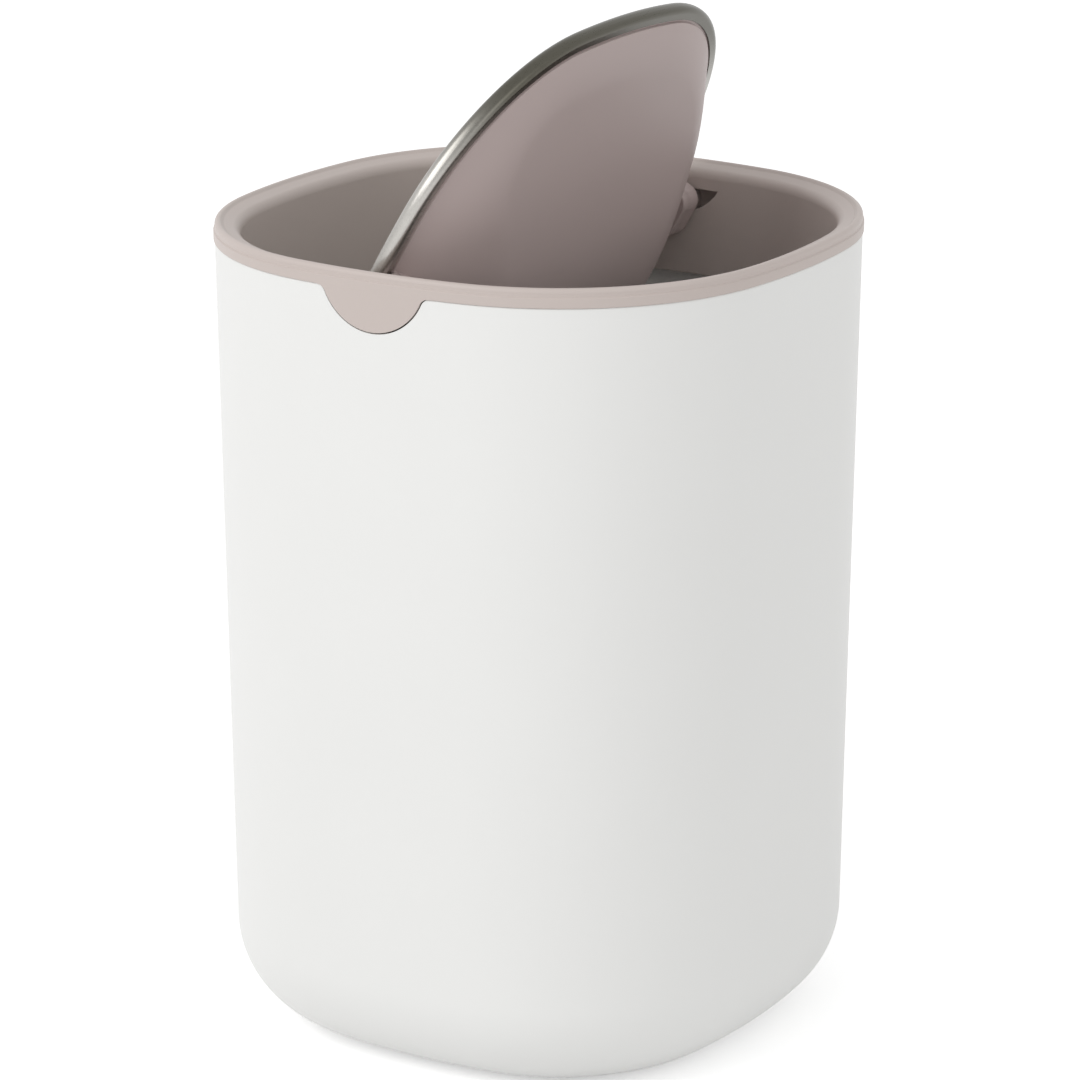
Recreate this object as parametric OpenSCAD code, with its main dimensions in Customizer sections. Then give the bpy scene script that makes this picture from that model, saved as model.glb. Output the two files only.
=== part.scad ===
// Countertop trash can with a swing lid.
// A tapered square shell with bowed sides carries a lift-off rim ring. A steel-faced lid
// turns on two trunnions in the ring. Origin at the centre of the base, +Z up.
// The lid is drawn standing open, with its +X side up.

/* [Bin] */
// Width and depth of the bin across its flats, at the rim
bin_w = 146; // [136:1:170]
// Height of the bin, to the crest of the rim
bin_h = 200; // [150:1:260]
// Radius of the bowed sides, at the rim
side_r = 172; // [150:1:220]
// Radius of the four corners, at the rim
corner_r = 57.2; // [52:0.1:62]
// How much narrower each side of the shell is at its base than at its top
wall_taper = 2.9; // [1:0.1:5]
// Wall thickness of the shell
wall = 2; // [1.6:0.1:2.6]
// Thickness of the shell's floor
floor_t = 2.6; // [2:0.1:4]
// Radius of the round between the side and the base, outside
foot_r = 24.8; // [14:0.1:28]
// Depth of the shallow recess under the base
foot_recess = 0.8; // [0.4:0.1:1.4]
// Width of the flat foot ring round that recess
foot_ring_w = 5; // [3:0.5:8]

/* [Rim ring] */
// Height of the ring's outer face above the shell's top edge
rim_h = 4.5; // [4:0.1:7]
// How far the ring stands out past the shell
rim_overhang = 0.3; // [0:0.05:0.8]
// Width of the ring's top, from its outer face to its inner wall
rim_top_w = 6.5; // [5.8:0.1:9]
// Height of the plain band at the foot of the ring's outer face
band_h = 2.2; // [1.5:0.1:2.6]
// Depth of the fine step between the band and the bead
band_step = 0.3; // [0.1:0.05:0.5]
// Radius of the bead along the ring's crest
bead_r = 1; // [0.6:0.1:1.3]
// Width of the bead's inner flank, from the crest to the valley
valley_run = 1.14; // [0.9:0.02:1.4]
// Depth of the valley below the crest
valley_drop = 0.62; // [0.4:0.02:0.8]
// Slope of the ring's top from the valley down towards the opening, in degrees
top_slope = 18; // [8:1:24]
// Radius of the round from the ring's top into its inner wall
lip_r = 2.66; // [1.6:0.02:3]
// Wall thickness of the ring's band, top and skirt
ring_wall = 1.8; // [1.4:0.1:2.2]
// Depth of the ring's skirt below the crest
skirt_drop = 28.5; // [24:0.5:40]
// How much wider the skirt's opening gets towards its lower edge, each side
skirt_draft = 0.25; // [0:0.05:0.4]
// Gap between the skirt's locating ribs and the shell
rib_gap = 0.3; // [0.2:0.05:0.5]
// Width of a locating rib
rib_w = 1.2; // [0.8:0.1:2]
// Distance from the middle of a side to its ribs
rib_offset = 19.5; // [18:0.5:21]
// Height left below a rib to the skirt's lower edge
rib_foot = 3; // [2:0.5:8]

/* [Tabs and pivots] */
// Radius of the half-round tabs below the ring
tab_r = 14.3; // [12:0.1:16]
// Depth of a tab below the ring's lower edge
tab_drop = 9.5; // [9:0.1:11]
// Radius of the round between a tab and the ring's lower edge
tab_fillet = 2.5; // [1:0.1:3]
// How far a tab's lower end leans in from the ring's outer face
tab_lean = 0.3; // [0.2:0.05:0.4]
// Gap between a tab and the notch that it fills in the shell
tab_gap = 0.35; // [0.2:0.05:0.6]
// Thickness of a tab's outer skin
tab_skin = 1.5; // [1.2:0.1:2]
// Thickness of a tab's half-round edge
tab_edge = 1.5; // [1.2:0.1:1.8]
// Distance of the pocket's flat top below the crest
pocket_drop = 6.5; // [6:0.1:6.8]
// Distance of the lid's axis below the crest
axis_drop = 10; // [9.8:0.1:10.3]
// Radius of the trunnions
pin_r = 2.2; // [1.6:0.1:2.2]
// Running clearance between a trunnion and its bush, on the radius
pin_clear = 0.05; // [0.03:0.01:0.08]
// Wall thickness of a bush
bush_wall = 1.1; // [0.8:0.1:1.4]
// Length of a bush
bush_len = 3; // [2:0.1:3.4]
// Gap between a trunnion's end and the bottom of its bush
pin_end_gap = 0.3; // [0.2:0.05:0.5]

/* [Lid] */
// Angle at which the lid stands open, in degrees
lid_tilt = 60.5; // [0:0.5:80]
// Gap between the lid and the ring's inner wall, in the middle of a side
lid_gap = 1.7; // [1.5:0.05:2.6]
// Radius of the lid's bowed sides
lid_side_r = 195; // [170:1:240]
// Radius of the lid's corners
lid_corner_r = 48; // [46:0.5:48.5]
// Height of the lid's hem above its axis
hem_rise = 5.4; // [5:0.1:6.5]
// Height of the steel cap at its edge
cap_h = 4.2; // [3.8:0.1:5.5]
// How far the cap's top is domed
cap_crown = 0.8; // [0.2:0.1:1.5]
// Thickness of the steel sheet
sheet_t = 0.5; // [0.4:0.1:0.6]
// Radius of the cap's shoulder
cap_shoulder_r = 2.3; // [1.5:0.1:2.6]
// Radius of the fold at the foot of the cap
hem_r = 0.8; // [0.6:0.1:1]
// Width of the hem that is folded under the pan
hem_w = 3.2; // [2.4:0.1:4]

/* [Lid pan] */
// Clearance between the pan's edge and the cap, on each side
pan_clear = 0.15; // [0.1:0.05:0.3]
// Wall thickness of the pan
pan_wall = 1.8; // [1.4:0.1:2.2]
// Width of the groove between the hem and the pan's pillow
groove_w = 0.7; // [0.4:0.1:1.2]
// Radius of the pillow's rounded edge
pillow_r = 3.3; // [2.6:0.1:3.6]
// How far the pillow bellies out in its middle
pillow_crown = 1; // [0.2:0.1:1.3]
// Gap between the hem and an ear's outer face
ear_gap = 0.7; // [0.6:0.1:1.5]
// Thickness of an ear
ear_t = 3; // [2:0.1:4]
// Radius of the round of an ear below the axis
boss_r = 2.9; // [2.6:0.1:3.2]
// Step from an ear's round down to the boss at the trunnion's root
boss_step = 0.2; // [0.1:0.05:0.3]
// Gap between a boss and the ring's inner wall
boss_gap = 0.35; // [0.25:0.05:0.6]
// Distance from the axis to the far end of an ear's heel, along the lid
heel_len = 11; // [8:0.5:14]
// Distance from the axis to the toe of an ear's heel, along the lid
heel_toe = 4.7; // [3.5:0.1:6]
// Depth of the heel's toe below the axis
heel_drop = 3.3; // [2.8:0.1:4]

/* [Hidden] */
$fn = 72;
side_n = 4;
corner_n = 10;
arc_n = 5;
hem_arc_n = 2;
bead_arc_n = 6;
tab_arc_n = 20;
foot_arc_n = 8;
crown_n = 3;
joint_overlap = 1;
half_w = bin_w / 2;
seam_z = bin_h - rim_h;
axis_z = bin_h - axis_drop;
draft_slope = wall_taper / seam_z;
draft = atan(draft_slope);
ring_inner = half_w - rim_top_w;
lid_half = ring_inner - lid_gap;
channel_top = bin_h - valley_drop - ring_wall - rim_top_w * tan(top_slope) / 2;
pocket_r = tab_r - tab_edge;
tab_centre_z = seam_z - tab_drop + tab_r;
pin_end = half_w - tab_skin - tab_lean - pin_end_gap;
bush_end = half_w - tab_skin - tab_lean;
hem_top = hem_rise + sheet_t;
cap_top = hem_rise + cap_h;

// The side arcs and corner arcs of the outline meet without a kink when each corner arc
// is centred at (c, c), where c follows from the half width and the two radii.
function corner_c(a, R, r) =
    let (k = a - R, s = R - r) (k + sqrt(2 * s * s - k * k)) / 2;
function side_angle(a, R, r) =
    let (c = corner_c(a, R, r)) atan2(c, c - a + R);

// Points along an arc, from one angle to another
function arc_points(centre, radius, from, to, n) =
    [for (i = [0 : n]) let (t = from + (to - from) * i / n)
        centre + radius * [cos(t), sin(t)]];

// Offset of the shell's outer face from the ring's outer face, at a height
function shell_face(z) = -rim_overhang - draft_slope * (seam_z - z);

// How far inside the outline a flat middle begins, where the corners have radius r
function plate_edge(r) = joint_overlap - r;

// A flat crown between two offsets: it rises by h, steepest at its outer end
function crown_points(x_out, x_in, z, h, n) =
    [for (i = [0 : n]) let (t = i / n)
        [x_out + (x_in - x_out) * t, z + h * (1 - (1 - t) * (1 - t))]];

// Stations round the outline: [centre x, centre y, radius, angle] of each
function stations(a, R, r) =
    let (c = corner_c(a, R, r), phi = side_angle(a, R, r))
    [for (q = [0 : 90 : 270]) each concat(
        [for (i = [0 : side_n - 1])
            [(a - R) * cos(q), (a - R) * sin(q), R, q - phi + 2 * phi * i / side_n]],
        [for (i = [0 : corner_n - 1])
            [c * cos(q) - c * sin(q), c * sin(q) + c * cos(q), r,
             q + phi + (90 - 2 * phi) * i / corner_n]])];

// Carries a profile round the outline. A profile point is [distance outside the
// outline, height], and the profile runs anticlockwise. A looped profile makes a ring.
// An open one starts and ends over the middle, and is closed there by flat faces.
module sweep(a, R, r, profile, looped) {
    st = stations(a, R, r);
    m = len(st);
    n = len(profile);
    polyhedron(
        points = [for (p = profile, s = st)
            [s[0] + (s[2] + p[0]) * cos(s[3]), s[1] + (s[2] + p[0]) * sin(s[3]), p[1]]],
        faces = concat(
            [for (j = [0 : looped ? n - 1 : n - 2], i = [0 : m - 1])
                let (k = (j + 1) % n, l = (i + 1) % m)
                [j * m + i, k * m + i, k * m + l, j * m + l]],
            looped ? [] : [[for (i = [0 : m - 1]) i],
                           [for (i = [m - 1 : -1 : 0]) (n - 1) * m + i]]));
}

// Shell

// The round at the foot is tangent to the base and to the drafted side
function foot_round(x0, z0, radius) =
    arc_points([x0 + radius * tan(draft) - radius / cos(draft), z0 + radius],
               radius, 270, 360 - draft, foot_arc_n);

function shell_profile() =
    let (outer = foot_round(shell_face(0), 0, foot_r),
         inner = foot_round(shell_face(floor_t) - wall / cos(draft), floor_t,
                            foot_r - wall),
         foot_x = outer[0][0],
         n = len(inner) - 1)
    concat(
        [[foot_x - foot_ring_w - foot_recess, foot_recess], [foot_x - foot_ring_w, 0]],
        outer,
        [[shell_face(seam_z), seam_z], [shell_face(seam_z) - wall, seam_z]],
        [for (i = [0 : n]) inner[n - i]]);

// Half of a tab's outline, from the round under the ring to its lowest point
function half_tab(r) =
    let (fz = seam_z - tab_fillet,
         cz = seam_z - tab_drop + tab_r,
         fx = sqrt((r + tab_fillet) ^ 2 - (cz - fz) ^ 2),
         meet = atan2(fz - cz, fx))
    concat(arc_points([fx, fz], tab_fillet, 90, 180 + meet, arc_n),
           [for (i = [1 : tab_arc_n]) let (t = meet + (-90 - meet) * i / tab_arc_n)
               [r * cos(t), cz + r * sin(t)]]);

// Outline of a tab seen from the front, closed by a line at a height
module tab_outline(r, top) {
    right = half_tab(r);
    n = len(right) - 1;
    polygon(concat([[right[0][0], top]], right,
                   [for (i = [n - 1 : -1 : 0]) [-right[i][0], right[i][1]]],
                   [[-right[0][0], top]]));
}

// A prism on a tab's outline, run through the front wall
module tab_prism(r, top) {
    translate([0, -half_w + rim_top_w, 0]) rotate([90, 0, 0])
        linear_extrude(rim_top_w + joint_overlap) tab_outline(r, top);
}

module bin_shell() {
    color("whitesmoke") difference() {
        sweep(half_w, side_r, corner_r, shell_profile(), false);
        for (s = [0, 180]) rotate(s) tab_prism(tab_r + tab_gap, seam_z + joint_overlap);
    }
}

// Rim ring

function ring_profile() =
    let (crest = [-band_step - bead_r, bin_h],
         valley = crest + [-valley_run, -valley_drop],
         lip_x = -rim_top_w + lip_r * (1 - sin(top_slope)),
         lip_z = valley[1] - (valley[0] - lip_x) * tan(top_slope),
         lip_centre = [lip_x + lip_r * sin(top_slope), lip_z - lip_r * cos(top_slope)],
         skirt_z = bin_h - skirt_drop,
         skirt_in = -rim_top_w + skirt_draft)
    concat(
        [[0, seam_z], [0, seam_z + band_h],
         [-band_step, seam_z + band_h + band_step]],
        arc_points(crest - [0, bead_r], bead_r, 0, 135, bead_arc_n),
        [valley],
        arc_points(lip_centre, lip_r, 90 + top_slope, 180, arc_n),
        [[skirt_in, skirt_z], [skirt_in + ring_wall, skirt_z],
         [-rim_top_w + ring_wall, channel_top], [-ring_wall, channel_top],
         [-ring_wall, seam_z]]);

// The block behind a tab, before its outline is cut: from the tab's face to the skirt
function tab_block_profile() =
    let (low = seam_z - tab_drop - joint_overlap,
         lean = tab_lean * (seam_z - low) / tab_drop,
         root = ring_wall / 2 - rim_top_w)
    [[-lean, low], [0, seam_z], [root, seam_z], [root, low]];

// The hollow behind a tab: half-moon shaped, with a flat top
module tab_pocket() {
    flat = bin_h - pocket_drop - tab_centre_z;
    half = asin(flat / pocket_r);
    translate([0, rim_top_w + joint_overlap - bush_end, 0]) rotate([90, 0, 0])
        linear_extrude(rim_top_w + joint_overlap)
            polygon(arc_points([0, tab_centre_z], pocket_r, half, -180 - half, tab_arc_n));
}

module bush() {
    translate([0, -bush_end - tab_skin / 2, axis_z]) rotate([-90, 0, 0])
        cylinder(r = pin_r + pin_clear + bush_wall, h = bush_len + tab_skin / 2);
}

module bush_bore() {
    translate([0, -bush_end, axis_z]) rotate([-90, 0, 0])
        cylinder(r = pin_r + pin_clear, h = bush_len + joint_overlap);
}

// A rib outside the skirt, whose edge follows the shell's drafted wall
module skirt_rib() {
    top = seam_z - rim_h / 2;
    low = bin_h - skirt_drop + rib_foot;
    root = -rim_top_w + ring_wall / 2;
    rotate([90, 0, 0]) translate([0, 0, -rib_w / 2]) linear_extrude(rib_w)
        polygon([[root, low], [shell_face(low) - wall - rib_gap - rib_w / 2, low],
                 [shell_face(low) - wall - rib_gap, low + rib_w],
                 [shell_face(top) - wall - rib_gap, top], [root, top]]);
}

module skirt_ribs() {
    turn = asin(rib_offset / side_r);
    for (q = [0 : 90 : 270], s = [-1, 1]) rotate(q)
        translate([half_w - side_r, 0, 0]) rotate(s * turn)
            translate([side_r, 0, 0]) skirt_rib();
}

module tab_blocks() {
    intersection() {
        sweep(half_w, side_r, corner_r, tab_block_profile(), true);
        for (s = [0, 180]) rotate(s) tab_prism(tab_r, seam_z + joint_overlap);
    }
}

module rim_ring() {
    color("#c8bdb8") difference() {
        union() {
            difference() {
                union() {
                    sweep(half_w, side_r, corner_r, ring_profile(), true);
                    tab_blocks();
                }
                for (s = [0, 180]) rotate(s) tab_pocket();
            }
            for (s = [0, 180]) rotate(s) bush();
            skirt_ribs();
        }
        for (s = [0, 180]) rotate(s) bush_bore();
    }
}

// Lid, drawn level with its axis at the origin and then stood open

module stand_open() {
    translate([0, 0, axis_z]) rotate([0, -lid_tilt, 0]) children();
}

function cap_profile() =
    let (shoulder = [-cap_shoulder_r, cap_top - cap_shoulder_r],
         fold = [-hem_r, hem_rise + hem_r],
         crown = crown_points(-cap_shoulder_r, plate_edge(lid_corner_r), cap_top,
                              cap_crown, crown_n))
    concat(
        [for (i = [crown_n : -1 : 1]) crown[i] - [0, sheet_t]],
        arc_points(shoulder, cap_shoulder_r - sheet_t, 90, 0, arc_n),
        arc_points(fold, hem_r - sheet_t, 360, 270, hem_arc_n),
        [[-hem_w, hem_top], [-hem_w, hem_rise]],
        arc_points(fold, hem_r, 270, 360, hem_arc_n),
        arc_points(shoulder, cap_shoulder_r, 0, 90, arc_n),
        [for (i = [1 : crown_n]) crown[i]]);

module lid_cap() {
    color("silver") stand_open()
        sweep(lid_half, lid_side_r, lid_corner_r, cap_profile(), false);
}

function pan_profile() =
    let (edge = -sheet_t - pan_clear,
         pillow = [-hem_w - groove_w - pillow_r, hem_top],
         belly = crown_points(pillow[0], plate_edge(lid_corner_r), hem_top - pillow_r,
                              -pillow_crown, crown_n))
    concat(
        [for (i = [crown_n : -1 : 1]) belly[i]],
        arc_points(pillow, pillow_r, 270, 360, arc_n),
        [[edge, hem_top], [edge, hem_top + pan_wall], pillow + [0, pan_wall]],
        [for (i = [0 : crown_n]) belly[i] + [0, pan_wall]]);

// Outline of an ear seen along the axis: round under the trunnion, with a heel behind
module ear_outline() {
    top = hem_top + pan_wall / 2;
    polygon(concat([[boss_r, top]], arc_points([0, 0], boss_r, 0, -90, arc_n),
                   [[-heel_toe, -heel_drop], [-heel_len, 0], [-heel_len, top]]));
}

module ear() {
    root = -lid_half + hem_w + ear_gap;
    translate([0, root + ear_t, 0]) rotate([90, 0, 0])
        linear_extrude(ear_t) ear_outline();
    translate([0, root + ear_t / 2, 0]) rotate([90, 0, 0])
        cylinder(r = boss_r - boss_step, h = ring_inner - boss_gap + root + ear_t / 2);
    translate([0, root + ear_t / 3, 0]) rotate([90, 0, 0])
        cylinder(r = pin_r, h = pin_end + root + ear_t / 3);
}

module lid_pan() {
    color("#b7aba6") stand_open() {
        sweep(lid_half, lid_side_r, lid_corner_r, pan_profile(), false);
        ear();
        mirror([0, 1, 0]) ear();
    }
}

bin_shell();
rim_ring();
lid_cap();
lid_pan();
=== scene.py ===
"""Looks of a countertop trash can with a swing lid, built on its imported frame.

Every length is in metres, in the frame of the part: the origin is at the centre of the base,
+Z is up, the lid's axis runs along Y, and the lid stands open with its +X side up.
"""
import logging
import math
from collections.abc import Callable
from dataclasses import dataclass
from enum import Enum

import bmesh
import bpy
from bpy.types import ID, Material, Mesh, Node, NodeSocket, NodeTree, Object
from mathutils import Matrix, Vector


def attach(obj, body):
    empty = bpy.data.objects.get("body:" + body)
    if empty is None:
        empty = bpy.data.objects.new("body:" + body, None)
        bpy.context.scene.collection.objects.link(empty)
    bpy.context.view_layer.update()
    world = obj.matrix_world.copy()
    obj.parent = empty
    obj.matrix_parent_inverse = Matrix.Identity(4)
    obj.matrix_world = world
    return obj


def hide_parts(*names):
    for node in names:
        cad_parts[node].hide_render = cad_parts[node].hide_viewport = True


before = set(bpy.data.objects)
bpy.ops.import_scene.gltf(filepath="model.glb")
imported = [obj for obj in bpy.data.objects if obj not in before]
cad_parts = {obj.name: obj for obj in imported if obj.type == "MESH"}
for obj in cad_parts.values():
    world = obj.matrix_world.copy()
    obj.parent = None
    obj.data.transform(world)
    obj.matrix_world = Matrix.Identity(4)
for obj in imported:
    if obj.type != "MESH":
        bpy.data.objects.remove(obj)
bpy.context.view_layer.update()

LOG = logging.getLogger("swing_lid_can")
MM = 0.001
# A whole number read from a division is lifted by this before it is rounded down.
NUDGE = 0.00001
# Points of a swept piece that lie closer than this become one.
WELD = 0.000001
# How far a cutter runs past what it cuts.
SPARE = 2 * MM
# The bevel at the free ends of the lid's pins and of their bushes.
EASE = 0.25 * MM
# The angle at which the lid stands, in degrees.
LID_TILT = 60.5

Point = tuple[float, float]
Triple = tuple[float, float, float]


class Body(Enum):
    """The moving bodies of the part."""

    BIN = "bin"
    RING = "ring"
    LID = "lid"


def operation(name: str, swapped: bool = False) -> "Callable[..., Wire]":
    """Makes a method of Wire that adds a Math node.

    Args:
        name: the node's operation.
        swapped: whether the wire itself comes last.

    Returns:
        The method, which takes the other values.
    """
    def method(self: "Wire", *others: "Wire | float") -> "Wire":
        """Returns the operation's result on this wire and the others."""
        values = (*others, self) if swapped else (self, *others)
        return self.math(name, *values)

    return method


class Wire:
    """The output of a node, with arithmetic: each operator adds a Math node."""

    def __init__(self, graph: "Graph", socket: NodeSocket) -> None:
        """Wraps an output of a node in a graph."""
        self.graph = graph
        self.socket = socket

    def math(self, name: str, *values: "Wire | float") -> "Wire":
        """Adds a Math node.

        Args:
            name: the node's operation.
            values: its inputs, in order.

        Returns:
            The node's output.
        """
        node = self.graph.node("ShaderNodeMath", operation=name)
        for socket, value in zip(node.inputs, values):
            self.graph.feed(socket, value)
        return Wire(self.graph, node.outputs[0])

    __add__ = operation("ADD")
    __radd__ = operation("ADD", True)
    __sub__ = operation("SUBTRACT")
    __rsub__ = operation("SUBTRACT", True)
    __mul__ = operation("MULTIPLY")
    __truediv__ = operation("DIVIDE")
    floor = operation("FLOOR")
    largest = operation("MAXIMUM")
    smallest = operation("MINIMUM")
    cosine = operation("COSINE")
    sine = operation("SINE")
    less_than = operation("LESS_THAN")

    def choose(self, yes: "Wire | float", no: "Wire | float") -> "Wire":
        """Returns yes where self is 1, and no where it is 0."""
        return self * yes + (1.0 - self) * no


class Graph:
    """A tree of nodes, for a material or for geometry."""

    def __init__(self, tree: NodeTree) -> None:
        """Wraps a tree."""
        self.tree = tree

    def node(self, kind: str, **settings: object) -> Node:
        """Adds a node.

        Args:
            kind: the node's type name.
            settings: the node's own properties.

        Returns:
            The node.
        """
        made = self.tree.nodes.new(kind)
        for name, value in settings.items():
            setattr(made, name, value)
        return made

    def feed(self, socket: NodeSocket, value: object) -> None:
        """Links a wire to an input, or sets the input's value."""
        if isinstance(value, Wire):
            self.tree.links.new(value.socket, socket)
        else:
            socket.default_value = value

    def wire(self, kind: str, inputs: dict[str, object], output: int | str = 0,
             **settings: object) -> Wire:
        """Adds a node and feeds its inputs.

        Args:
            kind: the node's type name.
            inputs: values or wires, by the names of the inputs.
            output: which output is returned.
            settings: the node's own properties.

        Returns:
            One output of the node.
        """
        made = self.node(kind, **settings)
        for name, value in inputs.items():
            self.feed(made.inputs[name], value)
        return Wire(self, made.outputs[output])

    def mix(self, factor: "Wire | float", low: object, high: object) -> Wire:
        """Mixes two colours.

        Args:
            factor: 0 for the first colour and 1 for the second.
            low: the first colour.
            high: the second colour.

        Returns:
            The mixed colour.
        """
        made = self.node("ShaderNodeMix", data_type="RGBA")
        self.feed(made.inputs[0], factor)
        for socket, value in ((made.inputs[6], low), (made.inputs[7], high)):
            self.feed(socket, value if isinstance(value, Wire) else (*value, 1.0))
        return Wire(self, made.outputs[2])

    def noise(self, place: Wire, scale: float, detail: float, roughness: float) -> Wire:
        """Returns a noise about 0.5 at a place."""
        return self.wire("ShaderNodeTexNoise", {
            "Vector": place, "Scale": scale, "Detail": detail, "Roughness": roughness})

    def inputs(self) -> dict[str, Wire]:
        """Returns the tree's own inputs, by name."""
        given = self.node("NodeGroupInput")
        return {socket.name: Wire(self, socket) for socket in given.outputs if socket.name}

    def finish(self, geometry: Wire, material: Wire) -> None:
        """Ends a geometry tree: makes its instances real and sets the material."""
        real = self.wire("GeometryNodeRealizeInstances", {"Geometry": geometry})
        painted = self.wire("GeometryNodeSetMaterial", {
            "Geometry": real, "Material": material})
        result = self.node("NodeGroupOutput")
        self.feed(result.inputs["Geometry"], painted)


def new_material(name: str) -> tuple[Material, Graph, Node]:
    """Returns a new material, its tree and its Principled shader."""
    material = bpy.data.materials.new(name)
    material.use_nodes = True
    tree = material.node_tree
    return material, Graph(tree), tree.nodes["Principled BSDF"]


def new_geometry_tree(name: str, source: str, numbers: tuple[str, ...],
                      counts: tuple[str, ...]) -> NodeTree:
    """Makes an empty Geometry Nodes tree with named inputs and one output.

    Args:
        name: the tree's name.
        source: the name of its geometry input.
        numbers: the names of its plain number inputs.
        counts: the names of its whole number inputs.

    Returns:
        The tree, which also has a material input.
    """
    tree = bpy.data.node_groups.new(name, "GeometryNodeTree")
    kinds = [(source, "Geometry"), *((n, "Float") for n in numbers),
             *((n, "Int") for n in counts), ("Material", "Material")]
    for label, kind in kinds:
        tree.interface.new_socket(label, in_out="INPUT", socket_type="NodeSocket" + kind)
    tree.interface.new_socket("Geometry", in_out="OUTPUT",
                              socket_type="NodeSocketGeometry")
    return tree


def placed(name: str, data: ID) -> Object:
    """Returns a new object on a mesh, lamp or camera, linked to the scene."""
    thing = bpy.data.objects.new(name, data)
    bpy.context.scene.collection.objects.link(thing)
    return thing


@dataclass(frozen=True)
class MouldedPlastic:
    """A satin moulded plastic with a fine grain."""

    name: str
    colour: Triple
    roughness: float
    specular: float = 0.22
    grain_depth: float = 0.00001
    grain_strength: float = 0.35
    grain_scale: float = 2600.0
    grain_roughness: float = 0.05
    cloud_scale: float = 28.0
    cloud_roughness: float = 0.08
    shade_spread: float = 0.012

    def build(self) -> Material:
        """Returns the material."""
        material, graph, shader = new_material(self.name)
        place = graph.wire("ShaderNodeTexCoord", {}, "Object")
        grain = graph.noise(place, self.grain_scale, 2.0, 0.6)
        cloud = graph.noise(place, self.cloud_scale, 3.0, 0.5)
        dark, light = (tuple(c * share for c in self.colour)
                       for share in (1.0 - self.shade_spread, 1.0 + self.shade_spread))
        graph.feed(shader.inputs["Base Color"], graph.mix(cloud, dark, light))
        graph.feed(shader.inputs["Roughness"],
                   self.roughness + (cloud - 0.5) * self.cloud_roughness
                   + (grain - 0.5) * self.grain_roughness)
        bump = graph.wire("ShaderNodeBump", {
            "Strength": self.grain_strength, "Distance": self.grain_depth, "Height": grain})
        graph.feed(shader.inputs["Normal"], bump)
        shader.inputs["Specular IOR Level"].default_value = self.specular
        return material


@dataclass(frozen=True)
class BrushedSteel:
    """Stainless steel with fine straight brush marks, and a painted reflection.

    The lid's high end is painted darker, as a reflection of dark surroundings that the steel
    mirrors. It fades from the first to the second of the places in "fades", along the slope
    of the lid.
    """

    name: str
    # The painted dark reflection at the lid's high end, then the steel's colour elsewhere.
    painted_dark: Triple
    bright: Triple
    roughness: float
    fades: tuple[float, float]
    mark_scale: Triple = (9000.0, 120.0, 9000.0)
    band_scale: Triple = (1400.0, 30.0, 1400.0)
    contrast: float = 0.3
    mark_share: float = 0.6
    mark_roughness: float = 0.16
    band_roughness: float = 0.08
    mark_depth: float = 0.000012
    mark_strength: float = 0.4

    def build(self) -> Material:
        """Returns the material."""
        material, graph, shader = new_material(self.name)
        place = graph.wire("ShaderNodeTexCoord", {}, "Object")
        level = graph.wire("ShaderNodeMapping", {
            "Vector": place, "Rotation": (0.0, math.radians(LID_TILT), 0.0)})
        marks, bands = (graph.wire("ShaderNodeMapping", {"Vector": level, "Scale": scale})
                        for scale in (self.mark_scale, self.band_scale))
        streak = graph.noise(marks, 1.0, 4.0, 0.65)
        band = graph.noise(bands, 1.0, 3.0, 0.55)
        run = graph.wire("ShaderNodeSeparateXYZ", {"Vector": level}, 0)
        # Painted reflection: the colour darkens towards the lid's high end, between the
        # places in fades.
        painted_darkening = graph.wire("ShaderNodeMapRange", {
            "Value": run, "From Min": self.fades[1], "From Max": self.fades[0]},
            interpolation_type="SMOOTHSTEP")
        low, high = (graph.mix(painted_darkening, *(tuple(c * share for c in colour)
                                        for colour in (self.bright, self.painted_dark)))
                     for share in (1.0 - self.contrast, 1.0 + self.contrast))
        blend = streak * self.mark_share + band * (1.0 - self.mark_share)
        graph.feed(shader.inputs["Base Color"], graph.mix(blend, low, high))
        graph.feed(shader.inputs["Roughness"],
                   self.roughness + (streak - 0.5) * self.mark_roughness
                   + (band - 0.5) * self.band_roughness)
        bump = graph.wire("ShaderNodeBump", {
            "Strength": self.mark_strength, "Distance": self.mark_depth, "Height": streak})
        graph.feed(shader.inputs["Normal"], bump)
        shader.inputs["Metallic"].default_value = 1.0
        return material


def arc(centre: Point, radius: float, start: float, end: float, steps: int) -> list[Point]:
    """Returns points along an arc, both ends included, with its angles in degrees."""
    turns = [math.radians(start + (end - start) * i / steps) for i in range(steps + 1)]
    return [(centre[0] + radius * math.cos(t), centre[1] + radius * math.sin(t))
            for t in turns]


def eased(corner: Point, before: Point, after: Point, radius: float,
          steps: int = 3) -> list[Point]:
    """Rounds a corner of a profile.

    Args:
        corner: the sharp corner.
        before: the point that leads to it.
        after: the point that follows it.
        radius: the radius of the round.
        steps: how many straight steps the round has.

    Returns:
        The points of the round.
    """
    here = Vector(corner)
    one = (Vector(before) - here).normalized()
    two = (Vector(after) - here).normalized()
    half = one.angle(two) / 2
    back = radius / math.tan(half)
    centre = here + (one + two).normalized() * (radius / math.sin(half))
    first = here + one * back - centre
    last = here + two * back - centre
    sweep = first.angle_signed(last)
    points = []
    for i in range(steps + 1):
        turned = Matrix.Rotation(-sweep * i / steps, 2) @ first
        points.append(tuple(centre + turned))
    return points


def straight(start: Point, end: Point, steps: int) -> list[Point]:
    """Returns the points that part a line into steps, with its ends left out."""
    return [(start[0] + (end[0] - start[0]) * i / steps,
             start[1] + (end[1] - start[1]) * i / steps) for i in range(1, steps)]


@dataclass(frozen=True)
class Bowl:
    """How deep a piece hangs along X: one half is shallow, the other deep and wide."""

    thin: float = 0.0
    deep: float = 0.0
    start: float = 1.0
    end: float = 0.0
    widening: float = 0.0


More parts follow.
